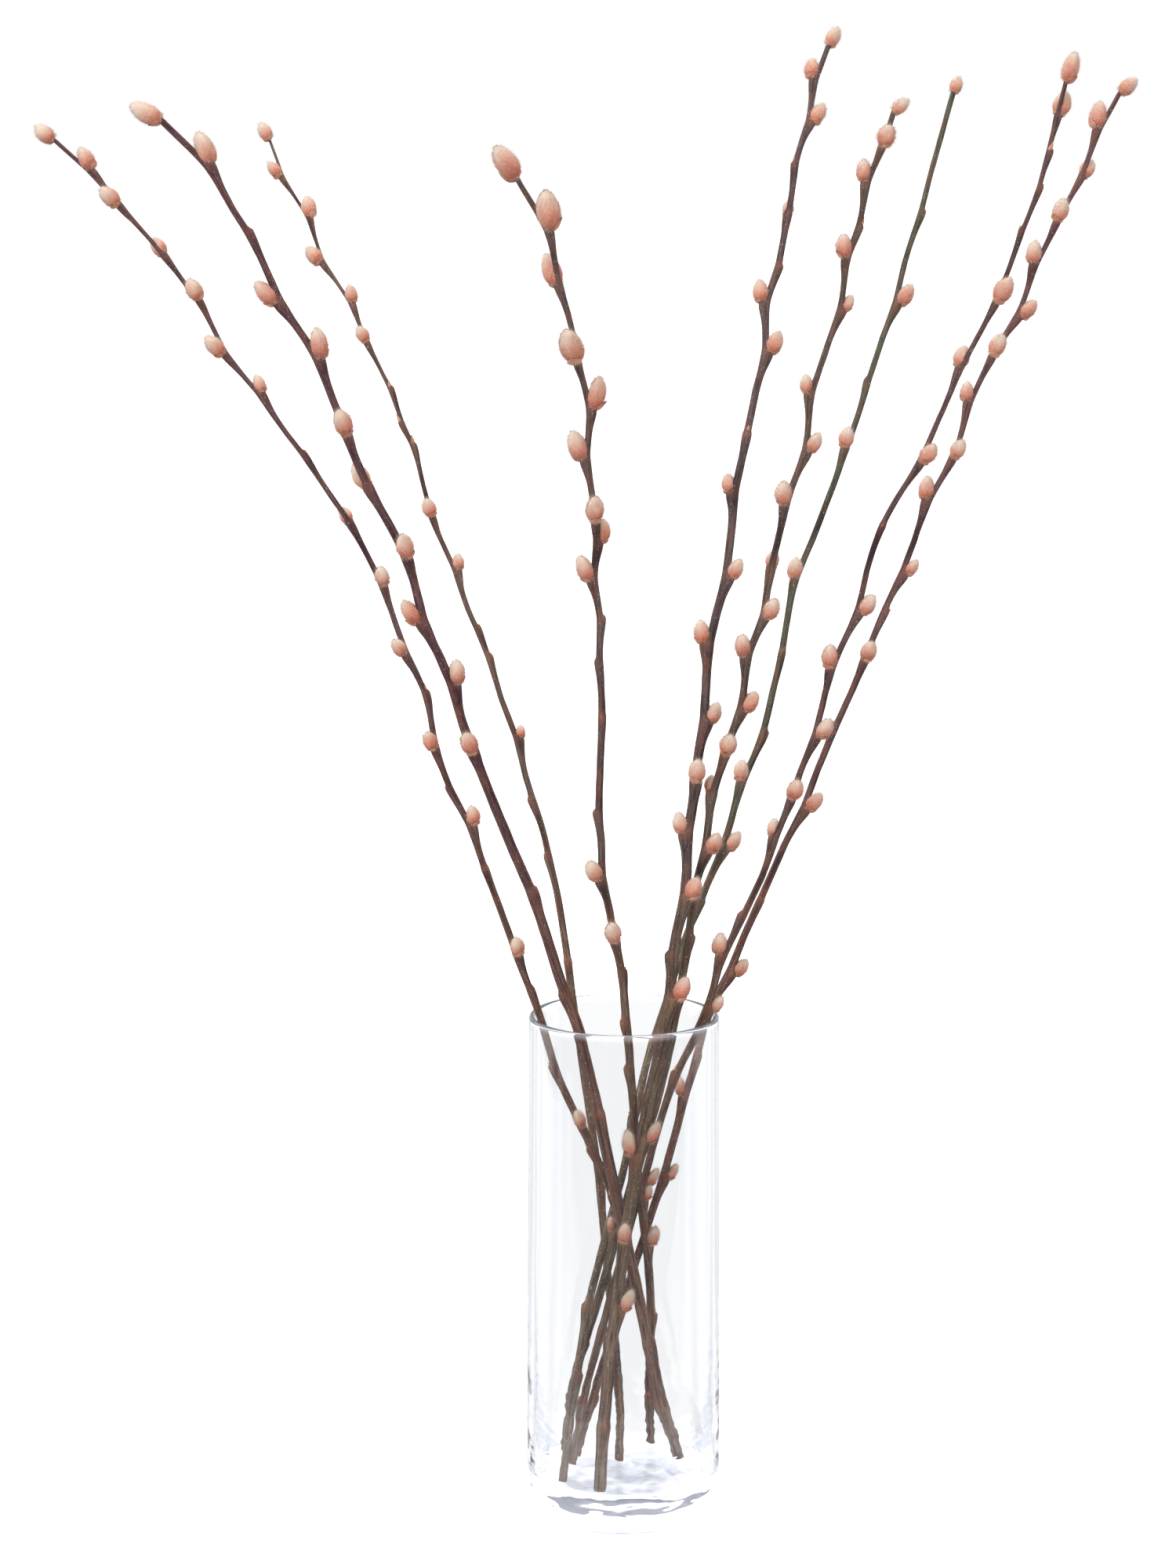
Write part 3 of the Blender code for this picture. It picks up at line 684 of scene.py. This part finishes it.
def add_bud(scales, fur, root, axis, out, length, width, draw):
    """A small pointed bud: a closed scale with a second one folded over its side."""
    shade = draw.uniform(0, 1)
    add_scale(scales, root, axis, out, (length, width, width * 0.85), 0.1, shade, draw)
    side = unit(np.cross(axis, out) * draw.choice([-1.0, 1.0]) + out * 0.8)
    size = (length * 0.7, width * 0.8, width * 0.5)
    add_scale(scales, root + side * width * 0.14, unit(axis + side * 0.1), side, size, 0.06, shade, draw)
    add_tuft(fur, root + axis * length * 0.15, axis, out, width * 0.45, BUD_HAIRS, draw)


def add_scar(scales, fur, root, axis, out, draw):
    """A bare leaf scar: three broken flakes and a few hairs."""
    for turn in draw.uniform(-1.2, 1.2, 3):
        side, way, face = flake_ways(axis, out, turn, draw.uniform(0.1, 0.5))
        size = (SCAR_LENGTH * draw.uniform(0.5, 0.9), SCAR_WIDTH * draw.uniform(0.45, 0.7), SCAR_WIDTH * 0.3)
        add_scale(scales, root + side * SCAR_WIDTH * 0.2, way, face, size, -0.1, draw.uniform(0, 1), draw)
    add_tuft(fur, root + axis * SCAR_LENGTH * 0.3, axis, out, SCAR_WIDTH * 0.3, SCAR_HAIRS, draw)


def add_tuft(fur, place, axis, out, radius, count, draw):
    """A few pale hairs in the angle of a bud or scar."""
    rim = ring_ways(out, np.cross(axis, out), draw.uniform(0, math.tau, count))
    roots = place + rim * radius + axis * draw.uniform(-0.6, 0.6, count)[:, None] * MM
    ways = unit(rim * 0.6 + axis * draw.uniform(0.0, 1.2, count)[:, None] + draw.normal(0, 0.25, (count, 3)))
    add_hairs(fur, roots, rim, ways, draw.uniform(0.4, 1.1, count) * MM, HAIR_WIDTH * 0.9, FLUFF_ALONG,
              shade=0.5)


def make_stem(index, stem, materials):
    """One stem as three pieces: its wood, its scales, and its catkins with all other hair."""
    draw = np.random.default_rng(FIRST_SEED + index)
    curve = Curve(stem)
    fur = Shape(along=1, hair=1, shade=1, blush=1, grain=3)
    scales = Shape(along=1, shade=1, grain=3)

    bearing, lean, length = stem.tip
    growth = curve.growth(curve.heights[-1])[0]
    axis, out = leaning(growth, sideways(growth, bearing), math.radians(lean))
    root = curve.at(curve.heights[-1])[0]
    add_whole_catkin(fur, scales, root, axis, out, length * MM, curve.heights[-1], draw)
    for height, bearing, length in stem.catkins:
        stand = CATKIN_STAND if height * MM > RIM_HEIGHT else CATKIN_STAND_IN_VASE
        root, growth, out = shoot_root(stem, curve, height * MM, bearing, stand)
        axis, out = leaning(growth, out, CATKIN_LEAN)
        add_whole_catkin(fur, scales, root, axis, out, length * MM, height * MM, draw)
    for height, bearing in stem.buds:
        root, growth, out = shoot_root(stem, curve, height * MM, bearing)
        add_bud(scales, fur, root, *leaning(growth, out, BUD_LEAN), BUD_LENGTH, BUD_WIDTH, draw)
    for turn, height in enumerate(stem.scars):
        root, growth, out = shoot_root(stem, curve, height * MM, turn * SCAR_TURN)
        add_scar(scales, fur, root, *leaning(growth, out, SCAR_LEAN), draw)
    add_lint(fur, curve, stem, curve.heights[0], RIM_HEIGHT, LINT.get(stem.name, LINT_IN_VASE), draw)
    add_lint(fur, curve, stem, RIM_HEIGHT, curve.heights[-1], LINT_ABOVE_VASE, draw)

    wood = make_wood(stem, curve, draw)
    for suffix, shape, material, slot in (("wood", wood, materials[stem.name], stem.name + "_bark"),
                                          ("scales", scales, materials["scales"], stem.name + "_bark"),
                                          ("catkins", fur, materials["fur"], "catkin_fur")):
        piece = shape.piece(stem.name + "_" + suffix, material)
        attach(piece, "root")
        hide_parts(stem.name)


def arc(centre, radius, start, end, steps):
    """Points of (r, z) along an arc, with angles in degrees from the outward direction."""
    angle = np.radians(np.linspace(start, end, steps + 1))
    return [(centre[0] + radius * math.cos(a), centre[1] + radius * math.sin(a)) for a in angle]


def straight(start, end):
    """Points between the ends of a straight side of the vase, without the ends."""
    return [(start[0] + (end[0] - start[0]) * t, start[1] + (end[1] - start[1]) * t)
            for t in np.linspace(0, 1, SIDE_STEPS)[1:-1]]


def vase_outline():
    """Half section of the vase as (r, z), from the middle of its underside, up outside and down inside."""
    lip = VASE_WALL / 2
    outline = [(r, 0.0) for r in np.linspace(VASE_MIDDLE, VASE_RADIUS_FOOT - VASE_FOOT_ROUND, 6)[:-1]]
    outline += arc((VASE_RADIUS_FOOT - VASE_FOOT_ROUND, VASE_FOOT_ROUND), VASE_FOOT_ROUND, -90, 0, 24)
    outline += straight(outline[-1], (VASE_RADIUS_RIM, VASE_HEIGHT - lip))
    outline += arc((VASE_RADIUS_RIM - lip, VASE_HEIGHT - lip), lip, 0, 180, 10)
    inner_foot = VASE_RADIUS_FOOT - VASE_WALL
    flat, round_top = inner_foot - VASE_INNER_ROUND, VASE_FLOOR + VASE_INNER_ROUND
    outline += straight(outline[-1], (inner_foot, round_top))
    outline += arc((flat, round_top), VASE_INNER_ROUND, 0, -90, 8)
    outline += [(r, VASE_FLOOR) for r in np.linspace(flat, VASE_MIDDLE, 8)[1:]]
    return np.array(outline)


def make_vase(material):
    """The vase: a slightly wavy cylinder with ripples on its inner floor."""
    outline = vase_outline()
    rows, sides = len(outline), VASE_SEGMENTS
    angle = math.tau * np.arange(sides) / sides
    radius = outline[:, :1] * np.ones(sides)
    height = outline[:, 1:] * np.ones(sides)
    wave = (np.sin(2 * angle + 5 * height / VASE_HEIGHT) + 0.6 * np.sin(3 * angle + 1.3 + 30 * height)
            + 0.4 * np.sin(5 * angle + 80 * height))
    radius = radius + GLASS_WAVE * wave * np.clip(outline[:, :1] / VASE_RADIUS_FOOT, 0, 1)
    inside_floor = (np.arange(rows) > rows // 2) & (outline[:, 1] < VASE_FLOOR + 0.1 * MM)
    ripple = 0.5 * MM * (np.sin(2 * angle + 140 * radius) + 0.7 * np.sin(3 * angle - 1.0 + 230 * radius))
    height = height + np.where(inside_floor[:, None], -np.abs(ripple) * 0.5, 0)
    grid = np.stack([radius * np.cos(angle), radius * np.sin(angle), height], axis=-1)
    ends = np.array([[0, 0, outline[0, 1]], [0, 0, outline[-1, 1]]])
    normals = np.vstack([grid_normals(grid).reshape(-1, 3), [(0, 0, -1), (0, 0, 1)]])
    vase = Shape()
    vase.add(np.vstack([grid.reshape(-1, 3), ends]), normals, closed_faces(rows, sides))
    piece = vase.piece("vase_glass", material)
    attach(piece, "root")
    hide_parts("vase")


class Nodes:
    """Short ways to add shader nodes to one material or world."""

    def __init__(self, tree):
        self.tree = tree

    def add(self, kind, settings=None, **inputs):
        node = self.tree.nodes.new("ShaderNode" + kind)
        for key, value in (settings or {}).items():
            setattr(node, key, value)
        self.feed(node, **inputs)
        return node

    def feed(self, node, **inputs):
        """Sets or links a node's inputs, whose names have _ for each space."""
        for key, value in inputs.items():
            self.put(node.inputs[key.replace("_", " ")], value)

    def put(self, socket, value):
        if isinstance(value, bpy.types.NodeSocket):
            self.tree.links.new(value, socket)
        elif hasattr(value, "__len__") and len(value) == 3 and len(socket.default_value) == 4:
            socket.default_value = (*value, 1.0)
        else:
            socket.default_value = value

    def value(self, name):
        return self.add("Attribute", {"attribute_name": name}).outputs["Fac"]

    def vector(self, name):
        return self.add("Attribute", {"attribute_name": name}).outputs["Vector"]

    def place(self):
        return self.add("TexCoord").outputs["Object"]

    def split(self, vector):
        return self.add("SeparateXYZ", Vector=vector).outputs

    def math(self, operation, *values, clamp=False):
        node = self.add("Math", {"operation": operation, "use_clamp": clamp})
        for socket, value in zip(node.inputs, values):
            self.put(socket, value)
        return node.outputs[0]

    def plus(self, a, b):
        return self.math("ADD", a, b)

    def times(self, a, b):
        return self.math("MULTIPLY", a, b)

    def waver(self, value, noise, amount):
        """A value moved up and down by a noise."""
        return self.plus(value, self.times(self.math("SUBTRACT", noise, 0.5), amount))

    def length(self, a, b):
        return self.math("SQRT", self.plus(self.times(a, a), self.times(b, b)))

    def bump(self, shader, strength, distance, height):
        node = self.add("Bump", Strength=strength, Distance=distance, Height=height)
        self.put(shader.inputs["Normal"], node.outputs["Normal"])

    def mix_shaders(self, factor, first, second):
        node = self.add("MixShader")
        for socket, value in zip(node.inputs, (factor, first, second)):
            self.put(socket, value)
        return node.outputs[0]

    def blend(self, factor, a, b, kind="MIX"):
        node = self.add("Mix", {"data_type": "RGBA", "blend_type": kind})
        self.put(node.inputs[0], factor)
        self.put(node.inputs[6], a)
        self.put(node.inputs[7], b)
        return node.outputs[2]

    def noise(self, vector, scale, detail=3.0, roughness=0.6, stretch=(1, 1, 1)):
        mapped = self.add("Mapping", Vector=vector, Scale=stretch).outputs[0]
        node = self.add("TexNoise", Vector=mapped, Scale=scale, Detail=detail, Roughness=roughness)
        return node.outputs["Fac"]

    def ramp(self, factor, stops):
        node = self.add("ValToRGB")
        self.put(node.inputs[0], factor)
        elements = node.color_ramp.elements
        while len(elements) < len(stops):
            elements.new(0.5)
        for element, (place, colour) in zip(elements, stops):
            element.position = place
            element.color = (*colour, 1.0)
        return node.outputs[0]

    def span(self, value, low, high, to_low=0.0, to_high=1.0):
        """A value spread from one range to another, and held at its ends."""
        return self.add("MapRange", {"clamp": True}, Value=value, From_Min=low, From_Max=high, To_Min=to_low,
                        To_Max=to_high).outputs[0]


def new_material(name):
    material = bpy.data.materials.new(name)
    material.use_nodes = True
    nodes = Nodes(material.node_tree)
    return material, nodes, material.node_tree.nodes["Principled BSDF"]


def bark_material(stem, top, low):
    """Smooth young bark: streaked along its length, speckled, redder at the nodes, paler at the foot."""
    material, nodes, shader = new_material(stem.name + "_bark_look")
    grain = nodes.vector("grain")
    height = nodes.split(nodes.place())["Z"]
    streak = nodes.noise(grain, 1.3, 5.0, 0.65, (1, 1, 0.07))
    fine = nodes.noise(grain, 3.5, 4.0, 0.7, (1, 1, 0.22))
    patch = nodes.noise(grain, 0.09, 3.0, 0.6, (2, 2, 1))
    colour = nodes.blend(nodes.span(height, *BARK_TURN), low, top)
    colour = nodes.blend(nodes.span(height, *BARK_PALING, 0.55, 0.0), colour, (0.46, 0.38, 0.32))
    dark = nodes.blend(1.0, colour, (0.34, 0.3, 0.34), "MULTIPLY")
    pale = nodes.blend(0.45, colour, (0.42, 0.3, 0.24))
    broad = nodes.noise(grain, 0.42, 2.0, 0.5, (1, 1, 0.06))
    colour = nodes.blend(nodes.span(fine, 0.45, 0.75), colour, pale)
    shade = nodes.math("MINIMUM", nodes.span(streak, 0.34, 0.6), nodes.span(broad, 0.36, 0.56))
    colour = nodes.blend(shade, dark, colour)
    colour = nodes.blend(nodes.span(patch, 0.52, 0.7, 0.0, 0.55), colour, (0.2, 0.075, 0.045))
    stretched = nodes.add("Mapping", Vector=grain, Scale=(1, 1, 0.7)).outputs[0]
    speck = nodes.add("TexVoronoi", Vector=stretched, Scale=0.95).outputs
    dot = nodes.span(speck["Distance"], 0.1, 0.22, 1.0, 0.0)
    rare = nodes.span(nodes.split(speck["Color"])["X"], 0.62, 0.7)
    dots = nodes.times(dot, rare)
    colour = nodes.blend(nodes.times(dots, 0.7), colour, (0.55, 0.42, 0.34))
    red = nodes.math("MULTIPLY", nodes.value("node"), nodes.span(fine, 0.3, 0.6), clamp=True)
    colour = nodes.blend(nodes.times(red, 0.55), colour, (0.36, 0.13, 0.08))
    cut = nodes.noise(nodes.place(), 900, 3.0)
    pith = nodes.ramp(cut, [(0.3, (0.33, 0.24, 0.14)), (0.7, (0.62, 0.5, 0.34))])
    colour = nodes.blend(nodes.value("cut"), colour, pith)
    nodes.feed(shader, Base_Color=colour, Roughness=nodes.span(streak, 0.2, 0.8, 0.48, 0.7),
               Specular_IOR_Level=0.25)
    relief = nodes.plus(nodes.plus(nodes.times(streak, 0.7), nodes.times(fine, 0.5)), dots)
    nodes.bump(shader, 0.5, 0.15 * MM, relief)
    return material


def scale_material():
    """Papery bud scales: orange-brown, darker and glossier towards their tips."""
    material, nodes, shader = new_material("bud_scale_look")
    streak = nodes.noise(nodes.vector("grain"), 1.6, 4.0, 0.6, (1, 1, 0.4))
    place = nodes.waver(nodes.value("along"), streak, 0.9)
    colour = nodes.ramp(place, [(0.0, (0.3, 0.12, 0.065)), (0.35, (0.5, 0.19, 0.1)),
                                (0.75, (0.42, 0.15, 0.09)), (1.0, (0.16, 0.055, 0.04))])
    pale = nodes.blend(nodes.span(nodes.value("shade"), 0.2, 1.0, 0.0, 0.4), colour, (0.75, 0.45, 0.32))
    nodes.feed(shader, Base_Color=pale, Roughness=nodes.span(streak, 0.2, 0.8, 0.35, 0.6))
    nodes.bump(shader, 0.6, 0.1 * MM, streak)
    return material


def fur_material():
    """Silky catkin fur: salmon at the base, and salmon as painted shade on the side away from the key lamp;
    cream at the tip and the hairs' ends.

    The hairs' ends glow weakly, in place of the light that real fur scatters.
    """
    material, nodes, shader = new_material("catkin_fur_look")
    grain = nodes.vector("grain")
    soft = nodes.noise(grain, 0.9, 3.0, 0.6)
    streak = nodes.noise(grain, 5.0, 3.0, 0.7, (1, 1, 0.25))
    place = nodes.waver(nodes.value("along"), soft, 0.9)
    place = nodes.plus(place, nodes.span(nodes.value("shade"), 0, 1, -0.22, 0.12))
    # Painted shade: fur that faces right and down, away from the key lamp, is shifted towards salmon
    place = nodes.math("SUBTRACT", place, nodes.times(nodes.value("blush"), 0.2))
    place = nodes.waver(place, streak, 0.5)
    colour = nodes.ramp(place, [(0.0, (0.5, 0.14, 0.08)), (0.2, (0.6, 0.21, 0.13)),
                                (0.45, (0.65, 0.31, 0.22)), (0.7, (0.66, 0.44, 0.34)),
                                (1.0, (0.71, 0.58, 0.48))])
    pale = nodes.span(nodes.value("hair"), 0.3, 1.0, 0.0, 0.8)
    colour = nodes.blend(pale, colour, (1.0, 0.9, 0.86))
    glow = nodes.blend(pale, (0, 0, 0), (1.0, 0.85, 0.8))
    nodes.feed(shader, Base_Color=colour, Roughness=0.85, Specular_IOR_Level=0.2, Sheen_Weight=0.5,
               Sheen_Roughness=0.4, Sheen_Tint=(1.0, 0.9, 0.85), Emission_Color=glow, Emission_Strength=0.12)
    nodes.bump(shader, 0.7, 0.2 * MM, streak)
    return material


def glass_material():
    """Clear glass with a faint cool tint that shows where the wall is seen edge on.

    Its foot and rim glow weakly, in place of the light that a real wall pipes along itself.
    """
    material, nodes, shader = new_material("clear_glass_look")
    nodes.feed(shader, Base_Color=(0.985, 0.992, 1.0), Roughness=0.0, IOR=1.5, Transmission_Weight=1.0)
    place = nodes.place()
    height = nodes.split(place)["Z"]
    wave = nodes.noise(place, 9, 2.0, 0.5, (1, 1, 0.4))
    ripple = nodes.noise(place, 34, 2.0, 0.5, (1, 1, 2.2))
    low = nodes.span(height, 0.03, 0.12, 1.0, 0.0)
    nodes.bump(shader, 1.0, 1.0 * MM, nodes.plus(nodes.times(wave, 0.15), nodes.times(ripple, low)))
    foot = nodes.span(height, *FOOT_GLOW, 1.0, 0.0)
    rim = nodes.span(height, *RIM_GLOW, 0.0, 0.4)
    glow = nodes.blend(nodes.math("MAXIMUM", foot, rim), (0, 0, 0), PIPED)
    nodes.feed(shader, Emission_Color=glow, Emission_Strength=1.0)
    return material


def make_stage():
    """A white floor that runs out of sight, with cards for the glass, a painted dark reflection in front of
    the vase and a painted mottled shadow under it.
    """
    reach = 40.0
    mesh = bpy.data.meshes.new("floor")
    mesh.from_pydata([(-reach, -reach, 0), (reach, -reach, 0), (reach, reach, 0), (-reach, reach, 0)], [],
                     [(0, 1, 2, 3)])
    floor = new_object("floor", mesh)
    material, nodes, shader = new_material("floor_look")
    nodes.feed(shader, Base_Color=(0.86, 0.86, 0.86), Roughness=0.9, Emission_Color=(1, 1, 1),
               Emission_Strength=0.75)
    across, ahead, _ = nodes.split(nodes.place())
    straight, mirrored = ray_kinds(nodes)
    through, mirror = glass_views(nodes, across, ahead)
    # Painted reflection: to rays mirrored in the glass, the floor in front of the vase shows dark
    mirror = nodes.blend(nodes.span(ahead, -0.22, -0.12), (0.17, 0.175, 0.2), mirror)
    # Painted shadow: seen through or mirrored in the glass, the floor under the vase is darkened in a mottle
    mottle = nodes.span(nodes.noise(nodes.place(), 55, 2.0, 0.6), 0.42, 0.6)
    shadow = nodes.blend(mottle, (0.42, 0.45, 0.54), WHITE)
    under = nodes.span(nodes.length(across, ahead), 0.02, 0.07, 0.8, 0.0)
    through = nodes.blend(under, through, shadow)
    mirror = nodes.blend(under, mirror, shadow)
    plain = nodes.add("BsdfDiffuse", Color=(0.45, 0.45, 0.45))
    card = nodes.add("Emission", Color=nodes.blend(mirrored, through, mirror))
    first = nodes.mix_shaders(nodes.math("MAXIMUM", straight, mirrored), plain.outputs[0], card.outputs[0])
    last = nodes.mix_shaders(nodes.add("LightPath").outputs["Is Camera Ray"], first, shader.outputs[0])
    nodes.put(material.node_tree.nodes["Material Output"].inputs["Surface"], last)
    mesh.materials.append(material)


def ray_kinds(nodes):
    """Two factors: one for rays that come straight or through glass, one for rays mirrored on the way."""
    paths = nodes.add("LightPath").outputs
    soft = nodes.math("MINIMUM", paths["Diffuse Depth"], 1.0)
    turned = nodes.math("MINIMUM", paths["Glossy Depth"], 1.0)
    clean = nodes.math("SUBTRACT", 1.0, nodes.math("MAXIMUM", soft, turned))
    through = nodes.times(paths["Is Transmission Ray"], clean)
    mirrored = nodes.times(turned, nodes.math("SUBTRACT", 1.0, soft))
    return nodes.math("MAXIMUM", paths["Is Camera Ray"], through), mirrored


def glass_views(nodes, across, ahead):
    """Cards on a white ground, which draw the edges of glass: as seen through it and mirrored in it."""
    side = nodes.math("MINIMUM", nodes.math("ABSOLUTE", across), nodes.math("ABSOLUTE", ahead))
    side = nodes.math("DIVIDE", side, nodes.length(across, ahead))
    through = nodes.ramp(side, [(0.0, WHITE), (0.36, WHITE), (0.44, PALE_CARD), (0.52, PALE_CARD),
                                (0.58, WHITE)])
    mirror = nodes.ramp(side, [(0.0, CARD), (0.08, CARD), (0.13, WHITE), (0.42, WHITE), (0.5, PALE_CARD),
                               (0.56, PALE_CARD), (0.6, WHITE)])
    return through, mirror


def make_world():
    """White to look at, with cards for the glass, and lit from the front left for everything else."""
    world = bpy.data.worlds.new("studio")
    bpy.context.scene.world = world
    world.use_nodes = True
    world.node_tree.nodes.clear()
    nodes = Nodes(world.node_tree)
    across, ahead, up = nodes.split(nodes.add("TexCoord").outputs["Generated"])
    straight, mirrored = ray_kinds(nodes)
    through, mirror = glass_views(nodes, across, ahead)
    through = nodes.blend(nodes.span(up, 0.3, 0.6), through, PALE_CARD)
    paths = nodes.add("LightPath").outputs
    inside = nodes.math("MINIMUM", paths["Transmission Depth"], 1.0)
    within = nodes.math("MAXIMUM", inside, paths["Is Singular Ray"])
    mirror = nodes.blend(nodes.span(up, 0.2, 0.6), mirror, PALE_CARD)
    mirror = nodes.blend(within, (0.2, 0.21, 0.25), mirror)
    front = nodes.plus(nodes.times(ahead, -0.5), nodes.times(across, -0.3))
    front = nodes.span(nodes.plus(front, nodes.times(up, 0.3)), -0.6, 0.7)
    lit = nodes.blend(front, (0.42, 0.43, 0.46), (1.35, 1.34, 1.32))
    lit = nodes.blend(inside, lit, nodes.blend(front, (0.7, 0.7, 0.72), (2.1, 2.0, 1.9)))
    colour = nodes.blend(mirrored, lit, mirror)
    colour = nodes.blend(straight, colour, through)
    colour = nodes.blend(paths["Is Camera Ray"], colour, WHITE)
    background = nodes.add("Background", Color=colour, Strength=1.0)
    nodes.put(nodes.add("OutputWorld").inputs["Surface"], background.outputs[0])


def add_lamp(name, place, aim, size, power, colour=(1, 1, 1)):
    """A round soft lamp, turned towards its aim."""
    light = bpy.data.lights.new(name, "AREA")
    light.shape = "DISK"
    light.size = size
    light.energy = power
    light.color = colour
    lamp = new_object(name, light)
    lamp.location = place
    lamp.rotation_euler = (Vector(aim) - Vector(place)).to_track_quat("-Z", "Y").to_euler()


def make_lights():
    middle = (0, 0, 0.45)
    add_lamp("key", (-1.5, -1.7, 2.0), middle, 1.3, 28, (1.0, 0.98, 0.96))
    add_lamp("fill", (1.6, -1.6, 1.0), middle, 1.2, 6)
    add_lamp("back_left", (-1.6, 1.5, 1.3), middle, 1.2, 7)
    add_lamp("back_right", (1.7, 1.3, 1.5), middle, 1.2, 9)
    add_lamp("top", (0.3, 0.2, 2.6), middle, 1.6, 12)


def make_camera():
    """The photograph's view: nearly level with the tips, looking a little down and to the left."""
    camera = new_object("camera", bpy.data.cameras.new("camera"))
    camera.location = CAMERA_PLACE
    camera.rotation_euler = (math.radians(90 - CAMERA_PITCH), 0, math.radians(CAMERA_YAW))
    camera.data.sensor_width = SENSOR_WIDTH
    camera.data.lens = CAMERA_LENS
    camera.data.clip_start = 0.05
    camera.data.clip_end = 200
    bpy.context.scene.camera = camera


def main():
    make_camera()
    make_stage()
    make_world()
    make_lights()
    materials = {"fur": fur_material(), "scales": scale_material()}
    for stem in STEMS:
        materials[stem.name] = bark_material(stem, *BARK_TONES[stem.name])
    for index, stem in enumerate(STEMS):
        make_stem(index, stem, materials)
    make_vase(glass_material())
    bpy.context.scene.view_settings.view_transform = "Standard"


main()
